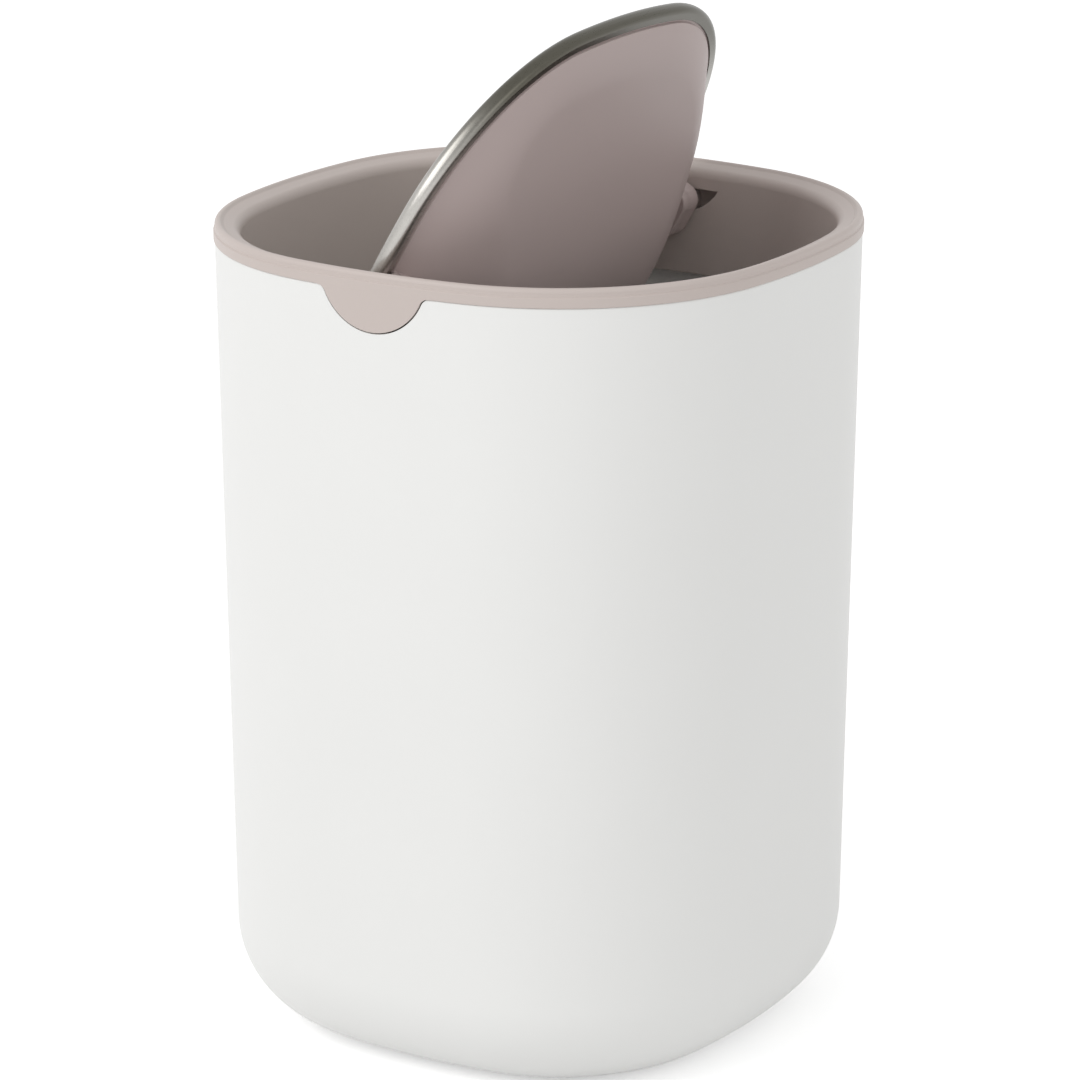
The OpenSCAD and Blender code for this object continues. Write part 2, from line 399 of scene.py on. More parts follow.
@dataclass(frozen=True)
class Outline:
    """A square with bowed sides and round corners, whose arcs meet without a kink."""

    half: float
    side: float
    corner: float
    side_steps: int = 16
    corner_steps: int = 28

    def centre(self) -> float:
        """Returns the x, and the y, of a corner arc's centre."""
        k = self.half - self.side
        s = self.side - self.corner
        return (k + math.sqrt(2 * s * s - k * k)) / 2

    def side_angle(self) -> float:
        """Returns half the angle that a side arc spans, in radians."""
        return math.atan2(self.centre(), self.centre() - self.half + self.side)


# The outline that the shell and the ring share, and the height at which they meet.
BODY_OUTLINE = Outline(73 * MM, 172 * MM, 57.2 * MM)
SEAM = 195.5 * MM


class OutlineSweep:
    """Carries a profile round an outline, with Geometry Nodes."""

    def __init__(self) -> None:
        """Builds the tree that every swept piece shares."""
        self.tree = new_geometry_tree(
            "Profile round outline", "Profile",
            ("Half width", "Side radius", "Corner radius", "Corner centre", "Side angle",
             "Thin depth", "Deep depth", "Deepens from", "Deepest at", "Widening"),
            ("Side steps", "Corner steps"))
        self._nodes()

    def _nodes(self) -> None:
        """Lays out a grid, and moves each of its points to its place on the piece."""
        graph = Graph(self.tree)
        wires = graph.inputs()
        count = graph.wire("GeometryNodeAttributeDomainSize",
                           {"Geometry": wires["Profile"]}, "Point Count")
        quarter = wires["Side steps"] + wires["Corner steps"]
        around = quarter * 4.0
        grid = graph.wire("GeometryNodeMeshGrid", {
            "Size X": 1.0, "Size Y": 1.0, "Vertices X": count,
            "Vertices Y": around + 1.0}, "Mesh")
        index = graph.wire("GeometryNodeInputIndex", {})
        row = (index / (around + 1.0) + NUDGE).floor()
        station = index - row * (around + 1.0)
        spot = graph.wire("GeometryNodeSampleIndex", {
            "Geometry": wires["Profile"], "Index": row,
            "Value": graph.wire("GeometryNodeInputPosition", {})},
            data_type="FLOAT_VECTOR")
        pull, hang, widen = (self._stored(graph, wires["Profile"], row, name)
                             for name in ("pull", "hang", "widen"))
        parts = graph.node("ShaderNodeSeparateXYZ")
        graph.feed(parts.inputs[0], spot)
        offset = Wire(graph, parts.outputs["X"])
        height = Wire(graph, parts.outputs["Z"])
        turn = (station / quarter + NUDGE).floor()
        local = station - turn * quarter
        on_side = (local + 0.5).less_than(wires["Side steps"])
        angle = wires["Side angle"]
        side_turn = local / wires["Side steps"] * angle * 2.0 - angle
        corner_turn = ((local - wires["Side steps"]) / wires["Corner steps"]
                       * (math.pi / 2 - angle * 2.0) + angle)
        heading = on_side.choose(side_turn, corner_turn)
        base = on_side.choose(wires["Side radius"], wires["Corner radius"])
        centre_x = on_side.choose(wires["Half width"] - wires["Side radius"],
                                  wires["Corner centre"])
        centre_y = on_side.choose(0.0, wires["Corner centre"])
        quarter_turn = turn * (math.pi / 2)
        cosine = quarter_turn.cosine()
        sine = quarter_turn.sine()
        ahead = heading.cosine()
        aside = heading.sine()
        rim = (centre_x + base * ahead) * cosine - (centre_y + base * aside) * sine
        radius = base + offset - widen * wires["Widening"] * self._deepening(wires, rim)
        x = centre_x + radius * ahead
        y = centre_y + radius * aside
        far = (x * cosine - y * sine) * pull
        depth = (wires["Thin depth"] + (wires["Deep depth"] - wires["Thin depth"])
                 * self._deepening(wires, far))
        place = graph.wire("ShaderNodeCombineXYZ", {
            "X": far, "Y": (x * sine + y * cosine) * pull, "Z": height - hang * depth})
        moved = graph.wire("GeometryNodeSetPosition", {"Geometry": grid, "Position": place})
        merged = graph.wire("GeometryNodeMergeByDistance", {
            "Geometry": moved, "Distance": WELD})
        smooth = graph.wire("GeometryNodeSetShadeSmooth", {
            "Geometry": merged, "Shade Smooth": True})
        graph.finish(smooth, wires["Material"])

    def _deepening(self, wires: dict[str, Wire], far: Wire) -> Wire:
        """Returns a smooth rise from 0 where the bowl starts to deepen to 1."""
        slope = ((wires["Deepens from"] - far)
                 / (wires["Deepens from"] + wires["Deepest at"]))
        slope = slope.largest(0.0).smallest(1.0)
        return slope * slope * (3.0 - slope * 2.0)

    def _stored(self, graph: Graph, profile: Wire, row: Wire, name: str) -> Wire:
        """Returns a number that the profile's points store, for one row of the grid."""
        named = graph.wire("GeometryNodeInputNamedAttribute", {"Name": name},
                           data_type="FLOAT")
        return graph.wire("GeometryNodeSampleIndex", {
            "Geometry": profile, "Index": row, "Value": named}, data_type="FLOAT")

    def mesh(self, outline: Outline, profile: list[Point], material: Material,
             scales: tuple[float, ...] = (), bowl: Bowl = Bowl(),
             shares: list[Point] | None = None) -> Mesh:
        """Sweeps one profile.

        Args:
            outline: what the profile goes round.
            profile: points as distance outside the outline and height, anticlockwise.
            material: the finish.
            scales: for an open profile, the scales at which both of its ends are
                repeated, down to 0 in the middle. A closed profile has none.
            bowl: how deep the piece hangs.
            shares: each point's share of that depth and of its widening, or None
                where the piece has no bowl.

        Returns:
            A closed mesh.
        """
        shares = shares or [(0.0, 0.0)] * len(profile)
        points = [(x, z, 1.0, *share) for (x, z), share in zip(profile, shares)]
        if scales:
            lead = [(*profile[0], s, *shares[0]) for s in reversed(scales)]
            tail = [(*profile[-1], s, *shares[-1]) for s in scales]
            points = lead + points + tail
        else:
            points.append(points[0])
        wires = bpy.data.meshes.new("profile")
        wires.from_pydata([(point[0], 0.0, point[1]) for point in points],
                          [(i, i + 1) for i in range(len(points) - 1)], [])
        for name, column in (("pull", 2), ("hang", 3), ("widen", 4)):
            stored = wires.attributes.new(name, "FLOAT", "POINT")
            stored.data.foreach_set("value", [point[column] for point in points])
        return evaluated(wires, self.tree, {
            "Half width": outline.half, "Side radius": outline.side,
            "Corner radius": outline.corner, "Corner centre": outline.centre(),
            "Side angle": outline.side_angle(), "Side steps": outline.side_steps,
            "Corner steps": outline.corner_steps, "Thin depth": bowl.thin,
            "Deep depth": bowl.deep, "Deepens from": bowl.start, "Deepest at": bowl.end,
            "Widening": bowl.widening, "Material": material})


def evaluated(start: Mesh, tree: NodeTree, values: dict[str, object]) -> Mesh:
    """Runs a Geometry Nodes tree on a mesh and keeps the result as a plain mesh.

    Args:
        start: the mesh that goes in.
        tree: the tree.
        values: its inputs, by name.

    Returns:
        The mesh that comes out.
    """
    holder = placed("holder", start)
    modifier = holder.modifiers.new("nodes", "NODES")
    modifier.node_group = tree
    for item in tree.interface.items_tree:
        if item.in_out == "INPUT" and item.name in values:
            modifier[item.identifier] = values[item.name]
    result = plain_mesh(holder)
    bpy.data.objects.remove(holder)
    bpy.data.meshes.remove(start)
    return result


def plain_mesh(thing: Object) -> Mesh:
    """Returns an object's mesh with its modifiers applied."""
    bpy.context.view_layer.update()
    graph = bpy.context.evaluated_depsgraph_get()
    return bpy.data.meshes.new_from_object(thing.evaluated_get(graph))


def worked(start: Mesh, cutters: list[tuple[Mesh, str]],
           edge: float, limit: float = 55.0) -> Mesh:
    """Cuts a mesh with others, then rounds its sharp edges.

    Args:
        start: the mesh that is cut.
        cutters: other meshes, each with DIFFERENCE or INTERSECT.
        edge: the width of the round along sharp edges.
        limit: the angle above which an edge is sharp, in degrees.

    Returns:
        The finished mesh.
    """
    body = placed("body", start)
    helpers = [placed("helper", mesh) for mesh, _ in cutters]
    for helper, (_, manner) in zip(helpers, cutters):
        modifier = body.modifiers.new("cut", "BOOLEAN")
        modifier.operation = manner
        modifier.solver = "EXACT"
        modifier.object = helper
    bevel = body.modifiers.new("edges", "BEVEL")
    bevel.width = edge
    bevel.segments = 3
    bevel.limit_method = "ANGLE"
    bevel.angle_limit = math.radians(limit)
    result = plain_mesh(body)
    for thing in (body, *helpers):
        bpy.data.objects.remove(thing)
    return result


def prism(outline: list[Point], start: float, end: float,
          facing: Matrix = Matrix.Identity(4)) -> Mesh:
    """A closed prism on an outline in X and Z, run along Y.

    Args:
        outline: the outline, as x and z.
        start: the y of one end.
        end: the y of the other end.
        facing: a turn or a mirror for the finished prism.

    Returns:
        The prism.
    """
    count = len(outline)
    points = [(x, y, z) for y in (start, end) for x, z in outline]
    faces = [list(range(count)), list(range(2 * count - 1, count - 1, -1))]
    faces += [[i, i + count, (i + 1) % count + count, (i + 1) % count]
              for i in range(count)]
    mesh = bpy.data.meshes.new("prism")
    mesh.from_pydata(points, [], faces)
    mesh.transform(facing)
    outward(mesh)
    return mesh


def turned(profile: list[Point], facing: Matrix, steps: int = 64) -> Mesh:
    """A round solid about the Y axis.

    Args:
        profile: points as y and radius, with radius 0 at both ends.
        facing: a turn, mirror or shift for the finished solid.
        steps: how many sides it has.

    Returns:
        The closed mesh.
    """
    points = []
    rings = []
    for y, radius in profile:
        if radius < 1e-9:
            rings.append([len(points)])
            points.append((0.0, y, 0.0))
            continue
        ring = []
        for i in range(steps):
            t = 2 * math.pi * i / steps
            ring.append(len(points))
            points.append((radius * math.cos(t), y, radius * math.sin(t)))
        rings.append(ring)
    faces = []
    for one, two in zip(rings, rings[1:]):
        for i in range(steps):
            k = (i + 1) % steps
            face = [one[i % len(one)], one[k % len(one)], two[k % len(two)],
                    two[i % len(two)]]
            faces.append(list(dict.fromkeys(face)))
    mesh = bpy.data.meshes.new("turned")
    mesh.from_pydata(points, [], faces)
    mesh.transform(facing)
    outward(mesh)
    return mesh


def mirrored(sign: int) -> Matrix:
    """Returns what carries a piece from the +Y side to the side of a sign."""
    return Matrix.Scale(sign, 4, Vector((0, 1, 0)))


def outward(mesh: Mesh) -> None:
    """Turns the faces of a closed mesh outwards."""
    build = bmesh.new()
    build.from_mesh(mesh)
    bmesh.ops.recalc_face_normals(build, faces=build.faces)
    if build.calc_volume(signed=True) < 0:
        bmesh.ops.reverse_faces(build, faces=build.faces)
    build.to_mesh(mesh)
    build.free()


def joined(name: str, meshes: list[Mesh], material: Material,
           place: Matrix = Matrix.Identity(4), sharp: float = 38.0) -> Object:
    """Joins closed meshes into one piece.

    Args:
        name: the piece's name.
        meshes: the closed meshes, which are used up.
        material: the finish of them all.
        place: where the piece goes. It ends up in the mesh.
        sharp: the angle above which an edge is shaded sharp, in degrees.

    Returns:
        The piece, at the origin.
    """
    build = bmesh.new()
    for mesh in meshes:
        build.from_mesh(mesh)
        bpy.data.meshes.remove(mesh)
    mesh = bpy.data.meshes.new(name)
    for face in build.faces:
        face.smooth = True
        face.material_index = 0
    build.to_mesh(mesh)
    build.free()
    mesh.transform(place)
    mesh.materials.clear()
    mesh.materials.append(material)
    mesh.set_sharp_from_angle(angle=math.radians(sharp))
    piece = placed(name, mesh)
    weighted = piece.modifiers.new("even_shading", "WEIGHTED_NORMAL")
    weighted.keep_sharp = True
    weighted.weight = 60
    return piece


@dataclass(frozen=True)
class TabShape:
    """The half-round tab below the ring, seen from the front."""

    radius: float = 14.3 * MM
    drop: float = 9.5 * MM
    fillet: float = 2.5 * MM
    seam: float = SEAM

    def centre(self) -> float:
        """Returns the height of the tab's centre."""
        return self.seam - self.drop + self.radius

    def outline(self, grow: float, top: float) -> list[Point]:
        """The tab's outline.

        Args:
            grow: how much larger than the tab the outline is.
            top: the height at which it is closed.

        Returns:
            Its points, as x and z.
        """
        radius = self.radius + grow
        level = self.seam - self.fillet
        reach = math.sqrt((radius + self.fillet) ** 2 - (self.centre() - level) ** 2)
        meet = math.degrees(math.atan2(level - self.centre(), reach))
        side = arc((reach, level), self.fillet, 90.0, 180.0 + meet, 10)
        side += arc((0.0, self.centre()), radius, meet, -90.0, 48)[1:]
        other = [(-x, z) for x, z in side[-2::-1]]
        return [(side[0][0], top), *side, *other, (-side[0][0], top)]


@dataclass
class Shell:
    """The white tapered shell of the bin."""

    outline: Outline = BODY_OUTLINE
    tab: TabShape = TabShape()
    tab_gap: float = 0.35 * MM
    seam: float = SEAM
    overhang: float = 0.3 * MM
    taper: float = 2.9 * MM
    wall: float = 2 * MM
    floor: float = 2.6 * MM
    foot_radius: float = 24.8 * MM
    recess: float = 0.8 * MM
    foot_ring: float = 5 * MM
    foot_edge: float = 0.6 * MM
    edge: float = 0.45 * MM
    notch_depth: float = 8 * MM
    notch_edge: float = 0.3 * MM

    def face(self, z: float) -> float:
        """Returns how far outside the outline the shell's face is at a height."""
        return -self.overhang - self.taper / self.seam * (self.seam - z)

    def foot(self, x: float, z: float, radius: float) -> list[Point]:
        """Returns the round between the base and the drafted side."""
        draft = math.atan(self.taper / self.seam)
        centre = (x + radius * math.tan(draft) - radius / math.cos(draft), z + radius)
        return arc(centre, radius, 270.0, 360.0 - math.degrees(draft), 30)

    def profile(self) -> list[Point]:
        """Returns the wall's profile, from under the base to the inner floor."""
        draft = math.atan(self.taper / self.seam)
        thick = self.wall / math.cos(draft)
        outer = self.foot(self.face(0.0), 0.0, self.foot_radius)
        inner = self.foot(self.face(self.floor) - thick, self.floor,
                          self.foot_radius - self.wall)
        top_out = (self.face(self.seam), self.seam)
        top_in = (self.face(self.seam) - self.wall, self.seam)
        ring_in = (outer[0][0] - self.foot_ring, 0.0)
        roof = (ring_in[0] - self.recess, self.recess)
        rise = eased(roof, (roof[0] - self.foot_ring, roof[1]), ring_in, self.foot_edge, 4)
        land = eased(ring_in, roof, outer[0], self.foot_edge, 4)
        outside = eased(top_out, outer[-1], top_in, self.edge, 5)
        inside = eased(top_in, top_out, inner[-1], self.edge, 5)
        return [*rise, *land, *outer, *straight(outer[-1], outside[0], 36), *outside,
                *inside, *straight(inside[-1], inner[-1], 36), *inner[::-1]]

    def build(self, sweep: OutlineSweep, material: Material) -> Object:
        """Builds the shell.

        Args:
            sweep: what carries its profile round.
            material: its finish.

        Returns:
            The finished piece.
        """
        body = sweep.mesh(self.outline, self.profile(), material,
                          (0.85, 0.65, 0.4, 0.15, 0.0))
        notch = self.tab.outline(self.tab_gap, self.seam + SPARE)
        near = self.outline.half - self.notch_depth
        far = self.outline.half + SPARE
        cuts = [(prism(notch, *sorted((sign * near, sign * far))), "DIFFERENCE")
                for sign in (-1, 1)]
        piece = joined("shell", [worked(body, cuts, self.notch_edge)], material)
        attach(piece, Body.BIN.value)
        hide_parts("bin_shell")
        return piece


@dataclass
class RimRing:
    """The lift-off ring with its tabs, skirt, ribs and bushes."""

    outline: Outline = BODY_OUTLINE
    tab: TabShape = TabShape()
    top: float = 200 * MM
    seam: float = SEAM
    width: float = 6.5 * MM
    band: float = 2.2 * MM
    step: float = 0.3 * MM
    bead: float = 1 * MM
    valley_run: float = 1.14 * MM
    valley_drop: float = 0.62 * MM
    slope: float = 18.0
    lip: float = 2.66 * MM
    wall: float = 1.8 * MM
    skirt_drop: float = 28.5 * MM
    skirt_draft: float = 0.25 * MM
    tab_lean: float = 0.3 * MM
    tab_skin: float = 1.5 * MM
    tab_edge: float = 1.5 * MM
    pocket_drop: float = 6.5 * MM
    axis_drop: float = 10 * MM
    pin: float = 2.2 * MM
    pin_clear: float = 0.05 * MM
    bush_wall: float = 1.1 * MM
    bush_length: float = 3 * MM
    rib_gap: float = 0.3 * MM
    rib_width: float = 1.2 * MM
    rib_offset: float = 19.5 * MM
    rib_foot: float = 3 * MM
    rib_head: float = 2.25 * MM
    rib_lead: tuple[float, float] = (0.6 * MM, 1.2 * MM)
    foot_edge: float = 0.18 * MM
    band_edge: float = 0.16 * MM
    valley_edge: float = 0.5 * MM
    skirt_edge: float = 0.4 * MM
    channel_edge: float = 0.3 * MM
    notch: tuple[float, float] = (0.04 * MM, 0.3 * MM)
    pocket_edge: float = 0.25 * MM
    tab_round: float = 0.28 * MM
    block_below: float = 1 * MM
    block_above: float = 1.2 * MM
    block_skin: float = 0.015 * MM
    bush_sink: float = 0.5 * MM
    pocket_reach: float = 3 * MM
    block_root: float = 0.5 * MM
    block_face: float = 1 * MM
    block_hollow: float = 10 * MM
    tab_top: float = 1.1 * MM

    def profile(self) -> list[Point]:
        """Returns the ring's profile, anticlockwise from the foot of its outer face."""
        slope = math.radians(self.slope)
        crest = (-self.step - self.bead, self.top)
        valley = (crest[0] - self.valley_run, crest[1] - self.valley_drop)
        lip_x = -self.width + self.lip * (1 - math.sin(slope))
        lip_z = valley[1] - (valley[0] - lip_x) * math.tan(slope)
        lip_centre = (lip_x + self.lip * math.sin(slope), lip_z - self.lip * math.cos(slope))
        low = self.top - self.skirt_drop
        skirt_in = (-self.width + self.skirt_draft, low)
        skirt_out = (skirt_in[0] + self.wall, low)
        channel = (self.top - self.valley_drop - self.wall
                   - self.width * math.tan(slope) / 2)
        channel_in = (-self.width + self.wall, channel)
        channel_out = (-self.wall, channel)
        foot_out = (0.0, self.seam)
        foot_in = (-self.wall, self.seam)
        band_top = (0.0, self.seam + self.band)
        notch = (-self.step - self.notch[0], self.seam + self.band + self.notch[1])
        bead = arc((crest[0], crest[1] - self.bead), self.bead, -20.0, 128.0, 22)
        lip = arc(lip_centre, self.lip, 90 + self.slope, 180.0, 14)
        return [*eased(foot_out, foot_in, band_top, self.foot_edge),
                *eased(band_top, foot_out, notch, self.band_edge, 4),
                notch, *bead, *eased(valley, bead[-1], lip[0], self.valley_edge, 5), *lip,
                *straight(lip[-1], skirt_in, 10),
                *eased(skirt_in, lip[-1], skirt_out, self.skirt_edge, 4),
                *eased(skirt_out, skirt_in, channel_in, self.skirt_edge, 4),
                channel_in, channel_out,
                *eased(foot_in, channel_out, foot_out, self.channel_edge)]

    def pocket(self) -> list[Point]:
        """Returns the outline of the half-moon hollow behind a tab."""
        radius = self.tab.radius - self.tab_edge
        flat = self.top - self.pocket_drop - self.tab.centre()
        half = math.degrees(math.asin(flat / radius))
        return arc((0.0, self.tab.centre()), radius, half, -180.0 - half, 48)

    def tab_block(self) -> list[Point]:
        """Returns the profile of the block behind a tab, anticlockwise."""
        low = self.seam - self.tab.drop - self.block_below
        high = self.seam + self.block_above
        lean = self.tab_lean * (self.seam - low) / self.tab.drop
        skin = -self.block_skin
        root = self.wall / 2 - self.width
        return [(-lean, low), *straight((-lean, low), (skin, self.seam), 10),
                (skin, self.seam), (skin, high), (root, high), (root, low)]

    def bush(self, facing: Matrix) -> Mesh:
        """Returns the bush of one trunnion, a blind tube."""
        deep = self.outline.half - self.tab_skin - self.tab_lean
        mouth = deep - self.bush_length
        outer = self.pin + self.pin_clear + self.bush_wall
        bore = self.pin + self.pin_clear
        back = deep + self.bush_sink
        profile = [(back, 0.0), (back, outer), (mouth + EASE, outer),
                   (mouth, outer - EASE), (mouth, bore + EASE), (mouth + EASE, bore),
                   (deep, bore), (deep, 0.0)]
        shift = Matrix.Translation((0.0, 0.0, self.top - self.axis_drop))
        return turned(profile, shift @ facing)

    def rib(self, shell: Shell) -> Mesh:
        """Returns one locating rib, drawn at x = 0 with its width along Y."""
        top = self.seam - self.rib_head
        low = self.top - self.skirt_drop + self.rib_foot
        root = -self.width + self.wall / 2

        def edge(z: float) -> float:
            """Returns where the rib's edge is at a height."""
            return shell.face(z) - shell.wall - self.rib_gap

        outline = [(root, low), (edge(low) - self.rib_lead[0], low),
                   (edge(low), low + self.rib_lead[1]), (edge(top), top), (root, top)]
        return prism(outline, -self.rib_width / 2, self.rib_width / 2)

    def ribs(self, shell: Shell, material: Material) -> Mesh:
        """Sets eight ribs round the skirt with Geometry Nodes.

        Args:
            shell: the shell that the ribs locate in.
            material: their finish.

        Returns:
            One mesh with all the ribs.
        """
        tree = new_geometry_tree("Ribs round skirt", "Rib",
                                 ("Half width", "Side radius", "Rib turn"), ("Sides",))
        graph = Graph(tree)
        wires = graph.inputs()
        index = graph.wire("GeometryNodeInputIndex", {})
        side = (index / 2.0).floor()
        hand = (index - side * 2.0) * 2.0 - 1.0
        lean = hand * wires["Rib turn"]
        spin = side * (2 * math.pi) / wires["Sides"]
        x = (wires["Half width"] - wires["Side radius"]
             + wires["Side radius"] * lean.cosine())
        y = wires["Side radius"] * lean.sine()
        cosine = spin.cosine()
        sine = spin.sine()
        place = graph.wire("ShaderNodeCombineXYZ", {
            "X": x * cosine - y * sine, "Y": x * sine + y * cosine, "Z": 0.0})
        points = graph.wire("GeometryNodePoints", {
            "Count": wires["Sides"] * 2.0, "Position": place})
        facing = graph.wire("ShaderNodeCombineXYZ", {"X": 0.0, "Y": 0.0, "Z": spin + lean})
        copies = graph.wire("GeometryNodeInstanceOnPoints", {
            "Points": points, "Instance": wires["Rib"], "Rotation": facing})
        graph.finish(copies, wires["Material"])
        return evaluated(self.rib(shell), tree, {
            "Half width": self.outline.half, "Side radius": self.outline.side,
            "Rib turn": math.asin(self.rib_offset / self.outline.side), "Sides": 4,
            "Material": material})

    def build(self, sweep: OutlineSweep, shell: Shell,
              material: Material) -> Object:
        """Builds the ring.

        Args:
            sweep: what carries its profile round.
            shell: the shell that it sits in.
            material: its finish.

        Returns:
            The finished piece.
        """
        half = self.outline.half
        deep = half - self.tab_skin - self.tab_lean
        hollow = self.pocket()
        tab = self.tab.outline(0.0, self.seam + self.tab_top)
        ring = sweep.mesh(self.outline, self.profile(), material)
        inner = half - self.width - self.pocket_reach
        cuts = [(prism(hollow, *sorted((sign * inner, sign * deep))), "DIFFERENCE")
                for sign in (-1, 1)]
        meshes = [worked(ring, cuts, self.pocket_edge, 70.0)]
        root = half - self.width + self.block_root
        face = half + self.block_face
        inner = half - self.block_hollow
        for sign in (-1, 1):
            block = sweep.mesh(self.outline, self.tab_block(), material)
            cuts = [(prism(tab, *sorted((sign * root, sign * face))), "INTERSECT"),
                    (prism(hollow, *sorted((sign * inner, sign * deep))), "DIFFERENCE")]
            meshes.append(worked(block, cuts, self.tab_round))
            meshes.append(self.bush(mirrored(sign)))
        meshes.append(self.ribs(shell, material))
        piece = joined("rim", meshes, material)
        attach(piece, Body.RING.value)
        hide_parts("rim_ring")
        return piece


@dataclass
class Lid:
    """The steel cap and the plastic pan that it is folded round."""

    outline: Outline = Outline(64.8 * MM, 195 * MM, 48 * MM)
    axis_height: float = 190 * MM
    tilt: float = LID_TILT
    hem_rise: float = 5.4 * MM
    cap_height: float = 4.2 * MM
    cap_crown: float = 0.8 * MM
    sheet: float = 0.5 * MM
    shoulder: float = 2.35 * MM
    fold: float = 1.5 * MM
    hem_width: float = 3.2 * MM
    pan_clear: float = 0.15 * MM
    pan_wall: float = 1.8 * MM
    groove: float = 0.7 * MM
    pan_step: float = 0.3 * MM
    pan_edge: float = 0.2 * MM
    hem_edges: tuple[float, float] = (0.12 * MM, 0.16 * MM)
    bowl: Bowl = Bowl(2.7 * MM, 18.9 * MM, 58 * MM, 8.8 * MM, 16 * MM)
    bowl_round: float = 12 * MM
    ear_gap: float = 0.7 * MM
    ear_thick: float = 3 * MM
    boss: float = 2.9 * MM
    boss_step: float = 0.2 * MM
    boss_gap: float = 0.35 * MM
    ear_front: float = 6 * MM
    ear_back: float = 8 * MM
    ear_drop: float = 5.2 * MM
    ear_corner: float = 4 * MM
    ear_edges: tuple[float, float] = (0.35 * MM, 0.8 * MM)
    ear_below_hem: float = 0.3 * MM
    ear_end: float = 65.4 * MM
    pin: float = 2.2 * MM
    ring_inner: float = 66.5 * MM
    pin_end: float = 70.9 * MM

    def stand(self) -> Matrix:
        """Returns the turn that stands the lid open."""
        return (Matrix.Translation((0.0, 0.0, self.axis_height))
                @ Matrix.Rotation(math.radians(-self.tilt), 4, "Y"))

    def inner_end(self) -> float:
        """Returns where profiles end, just short of where the corner arcs would cross."""
        return 1 * MM - self.outline.corner

    def crown(self, outer: float, z: float) -> list[Point]:
        """Returns the cap's low crown, steepest at its outer end."""
        run = self.inner_end() - outer
        return [(outer + run * i / 16, z + self.cap_crown * (1 - (1 - i / 16) ** 2))
                for i in range(17)]

    def cap_profile(self) -> list[Point]:
        """Returns the cap's profile, from its inner face round the hem to its top."""
        top = self.hem_rise + self.cap_height
        shoulder = (-self.shoulder, top - self.shoulder)
        fold = (-self.fold, self.hem_rise + self.fold)
        crown = self.crown(-self.shoulder, top)
        under = [(x, z - self.sheet) for x, z in crown[:0:-1]]
        hem_in = (-self.hem_width, self.hem_rise + self.sheet)
        hem_out = (-self.hem_width, self.hem_rise)
        inner_fold = arc(fold, self.fold - self.sheet, 360.0, 270.0, 6)
        outer_fold = arc(fold, self.fold, 270.0, 360.0, 12)
        return [*under, *arc(shoulder, self.shoulder - self.sheet, 90.0, 0.0, 10),
                *inner_fold, *eased(hem_in, inner_fold[-1], hem_out, self.hem_edges[0]),
                *eased(hem_out, hem_in, outer_fold[0], self.hem_edges[1]), *outer_fold,
                *arc(shoulder, self.shoulder, 0.0, 90.0, 18), *crown[1:]]

    def bowl_half(self, outer: float, z: float, steps: int) -> list[tuple[float, ...]]:
        """One side of the pan's bowl.

        Args:
            outer: where the bowl starts, as distance outside the lid's outline.
            z: the height there.
            steps: how many straight steps its round has.

        Returns:
            Its points from the groove inwards, each with its share of the bowl's depth
            and of its widening.
        """
        points = []
        for i in range(steps + 1):
            t = i / steps
            points.append((outer - self.bowl_round * t, z, 1 - (1 - t) ** 2, t))
        last = outer - self.bowl_round
        flat = 14
        points += [(last + (self.inner_end() - last) * i / flat, z, 1.0, 1 - i / flat)
                   for i in range(1, flat + 1)]
        return points

    def pan_profile(self) -> list[tuple[float, ...]]:
        """Returns the pan's profile, from under its bowl round its edge to its inner face."""
        hem_top = self.hem_rise + self.sheet
        edge = -self.sheet - self.pan_clear
        start = -self.hem_width - self.groove
        lip = self.hem_rise - self.pan_step
        under = self.bowl_half(start - self.pan_edge, lip, 36)
        over = self.bowl_half(start - self.pan_wall / 2, hem_top + self.pan_wall, 24)
        soft = arc((start - self.pan_edge, lip + self.pan_edge), self.pan_edge,
                   290.0, 360.0, 4)
        rim = [*soft, (start, hem_top), (edge, hem_top), (edge, hem_top + self.pan_wall)]
        return [*under[::-1], *[(x, z, 0.0, 0.0) for x, z in rim], *over]

    def ear(self, facing: Matrix) -> list[Mesh]:
        """Makes one ear: a web, a block below the hem, a boss and a trunnion.

        Args:
            facing: what carries it from the +Y side to its own.

        Returns:
            Its closed meshes.
        """
        root = self.outline.half - self.hem_width - self.ear_gap
        roof = self.hem_rise + self.sheet + self.pan_wall / 2
        radius = self.ear_corner
        low = radius - self.ear_drop
        under_hem = self.hem_rise - self.ear_below_hem
        start = root - self.ear_thick / 2
        round_ends = [*arc((self.ear_front - radius, low), radius, 0.0, -90.0, 16),
                      *arc((radius - self.ear_back, low), radius, -90.0, -180.0, 16)]
        plates = []
        for top, near, far, edge, limit in (
                (roof, root - self.ear_thick, root, self.ear_edges[0], 55.0),
                (under_hem, start, self.ear_end, self.ear_edges[1], 40.0)):
            side = [(self.ear_front, top), *round_ends, (-self.ear_back, top)]
            plates.append(worked(prism(side, near, far, facing), [], edge, limit))
        boss_end = self.ring_inner - self.boss_gap
        rounds = [turned([(start, 0.0), (start, radius), (end - EASE, radius),
                          (end, radius - EASE), (end, 0.0)], facing)
                  for radius, end in ((self.boss - self.boss_step, boss_end),
                                      (self.pin, self.pin_end))]
        return plates + rounds

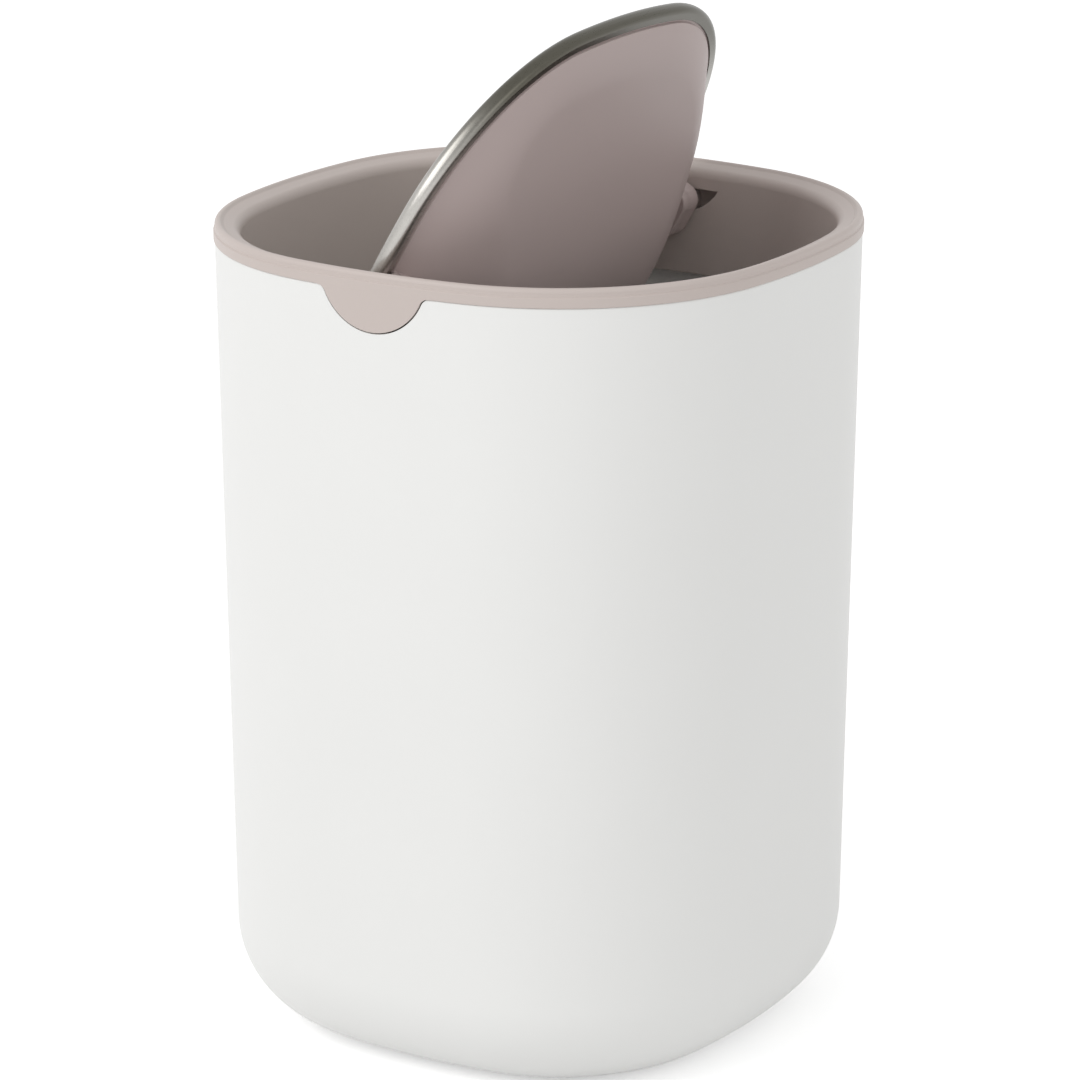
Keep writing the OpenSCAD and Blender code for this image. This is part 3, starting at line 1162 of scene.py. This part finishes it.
    def build(self, sweep: OutlineSweep, steel: Material,
              plastic: Material) -> list[Object]:
        """Builds the lid.

        Args:
            sweep: what carries its profiles round.
            steel: the cap's finish.
            plastic: the pan's finish.

        Returns:
            The cap and the pan.
        """
        scales = (0.8, 0.55, 0.3, 0.0)
        cap_mesh = sweep.mesh(self.outline, self.cap_profile(), steel, scales)
        cap = joined("lid_steel_cap", [cap_mesh], steel, self.stand())
        section = self.pan_profile()
        meshes = [sweep.mesh(self.outline, [point[:2] for point in section], plastic, scales,
                             self.bowl, [point[2:] for point in section])]
        for sign in (1, -1):
            meshes += self.ear(mirrored(sign))
        pan = joined("lid_pan_underside", meshes, plastic, self.stand())
        for piece, node, slot in ((cap, "lid_cap", "lid_steel"),
                                  (pan, "lid_pan", "pan_plastic")):
            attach(piece, Body.LID.value)
            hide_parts(node)
        return [cap, pan]


@dataclass(frozen=True)
class Viewpoint:
    """The camera of the photograph."""

    azimuth: float = 31.877
    elevation: float = 17.464
    distance: float = 1.2294
    aim_height: float = 0.1002
    lens: float = 167.55
    shift: float = 0.0655

    def build(self) -> None:
        """Adds the camera."""
        data = bpy.data.cameras.new("camera")
        data.lens = self.lens
        data.sensor_width = 36.0
        data.shift_y = self.shift
        data.clip_end = 20.0
        camera = placed("camera", data)
        turn = math.radians(self.azimuth)
        rise = math.radians(self.elevation)
        back = Vector((math.sin(turn) * math.cos(rise), -math.cos(turn) * math.cos(rise),
                       math.sin(rise)))
        camera.location = back * self.distance + Vector((0.0, 0.0, self.aim_height))
        camera.rotation_euler = (math.pi / 2 - rise, 0.0, turn)
        bpy.context.scene.camera = camera


@dataclass(frozen=True)
class Lamp:
    """A square soft lamp that faces the middle of the can, with its power in watts."""

    name: str
    place: Triple
    size: float
    power: float
    aim: Triple = (0.0, 0.0, 0.1)

    def build(self) -> None:
        """Adds the lamp."""
        data = bpy.data.lights.new(self.name, "AREA")
        data.energy = self.power
        data.size = self.size
        lamp = placed(self.name, data)
        lamp.location = self.place
        facing = (Vector(self.aim) - Vector(self.place)).to_track_quat("-Z", "Y")
        lamp.rotation_euler = facing.to_euler()


@dataclass(frozen=True)
class Studio:
    """A white floor and a white background under soft light."""

    ambient: float = 0.65
    lamps: tuple[Lamp, ...] = (Lamp("key", (-0.8, -1.6, 1.3), 1.4, 16.0),
                               Lamp("fill", (1.7, -0.6, 0.9), 1.2, 4.2))
    floor_colour: Triple = (0.9, 0.9, 0.9)
    floor_lift: float = 0.43
    floor_reach: float = 30.0

    def seen_directly(self, graph: Graph) -> Wire:
        """Returns 1 for rays that show a background, and 0 for those that only light."""
        path = graph.node("ShaderNodeLightPath")
        seen, shine, through = (Wire(graph, path.outputs[f"Is {kind} Ray"])
                                for kind in ("Camera", "Glossy", "Transmission"))
        return seen.largest(shine).largest(through)

    def world(self) -> None:
        """Lights the scene evenly from all round, and shows white behind it."""
        world = bpy.data.worlds.new("studio")
        bpy.context.scene.world = world
        world.use_nodes = True
        graph = Graph(world.node_tree)
        background = world.node_tree.nodes["Background"]
        graph.feed(background.inputs["Strength"],
                   self.seen_directly(graph).choose(1.0, self.ambient))
        background.inputs["Color"].default_value = (1.0, 1.0, 1.0, 1.0)

    def floor(self) -> None:
        """Lays a pale floor, lifted to white where it is seen, that keeps its shadows."""
        mesh = bpy.data.meshes.new("floor")
        reach = self.floor_reach
        mesh.from_pydata([(-reach, -reach, 0.0), (reach, -reach, 0.0),
                          (reach, reach, 0.0), (-reach, reach, 0.0)], [], [(0, 1, 2, 3)])
        floor = placed("floor", mesh)
        material, graph, shader = new_material("pale_floor")
        shader.inputs["Base Color"].default_value = (*self.floor_colour, 1.0)
        shader.inputs["Roughness"].default_value = 0.9
        shader.inputs["Specular IOR Level"].default_value = 0.0
        shader.inputs["Emission Strength"].default_value = self.floor_lift
        graph.feed(shader.inputs["Emission Color"], graph.mix(
            self.seen_directly(graph), (0.0, 0.0, 0.0), (1.0, 1.0, 1.0)))
        mesh.materials.append(material)

    def build(self) -> None:
        """Builds the floor, the world and the lamps."""
        self.world()
        for lamp in self.lamps:
            lamp.build()
        self.floor()


def main() -> None:
    """Builds the scene in order, and reports each piece."""
    logging.basicConfig(level=logging.INFO, format="%(message)s")
    bpy.context.scene.view_settings.view_transform = "Standard"
    Viewpoint().build()
    Studio().build()
    white = MouldedPlastic("white_plastic", (0.84, 0.84, 0.825), 0.42).build()
    taupe = MouldedPlastic("taupe_plastic", (0.58, 0.51, 0.478), 0.4).build()
    mauve = MouldedPlastic("pan_taupe_plastic", (0.5, 0.415, 0.4), 0.42).build()
    # The steel's first colour is a painted dark reflection at the lid's high end; the second
    # is its colour elsewhere.
    steel = BrushedSteel("brushed_steel", (0.1, 0.095, 0.078), (0.46, 0.445, 0.42), 0.3,
                         (0.22, 0.192)).build()
    sweep = OutlineSweep()
    shell = Shell()
    pieces = [shell.build(sweep, white), RimRing().build(sweep, shell, taupe),
              *Lid().build(sweep, steel, mauve)]
    for piece in pieces:
        LOG.info("%s: %d faces", piece.name, len(piece.data.polygons))


if __name__ == "__main__":
    main()
